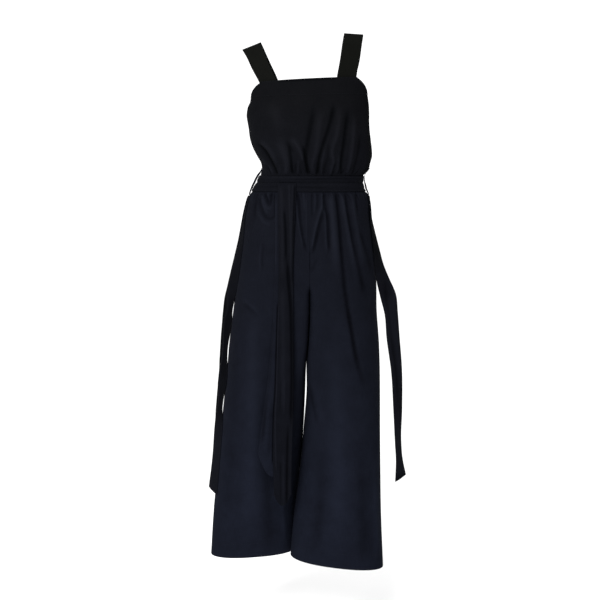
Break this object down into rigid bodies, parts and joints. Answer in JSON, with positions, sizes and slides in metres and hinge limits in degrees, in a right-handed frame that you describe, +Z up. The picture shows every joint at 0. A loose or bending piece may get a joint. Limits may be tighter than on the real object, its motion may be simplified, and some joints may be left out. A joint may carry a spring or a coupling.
{
  "type": "sleeveless wide-leg jumpsuit",
  "caption": "Dark navy sleeveless jumpsuit with a square bib neck, wide shoulder straps, a wound waist sash with hanging ends, side ties and wide straight legs, held as it is worn.",
  "frame": {"origin": "midway between the tops of the two shoulder straps, where a wearer or a stand carries the garment", "axes": "+Z up along the garment, from hem to shoulders; -Y is the garment's front; +X is the wearer's left"},
  "size_m": [0.5263, 0.2539, 1.3837],
  "materials": {
    "bodice_cloth": "matte woven cloth",
    "leg_cloth": "matte woven cloth",
    "sash_cloth": "matte woven cloth",
    "strap_cloth": "matte woven cloth"
  },
  "bodies": {
    "root": {"bodice_front": "bodice_cloth", "bodice_back": "bodice_cloth", "front_band": "bodice_cloth", "strap_right": "strap_cloth", "strap_left": "strap_cloth", "trouser_front_right": "leg_cloth", "trouser_front_left": "leg_cloth", "trouser_back_right": "leg_cloth", "trouser_back_left": "leg_cloth", "belt_wrap_upper": "sash_cloth", "belt_wrap_lower": "sash_cloth", "belt_fall_long": "sash_cloth", "belt_fall_short": "sash_cloth", "belt_loop_right": "leg_cloth", "belt_loop_left": "leg_cloth", "tie_right": "sash_cloth", "tie_left": "sash_cloth"}
  },
  "joints": []
}
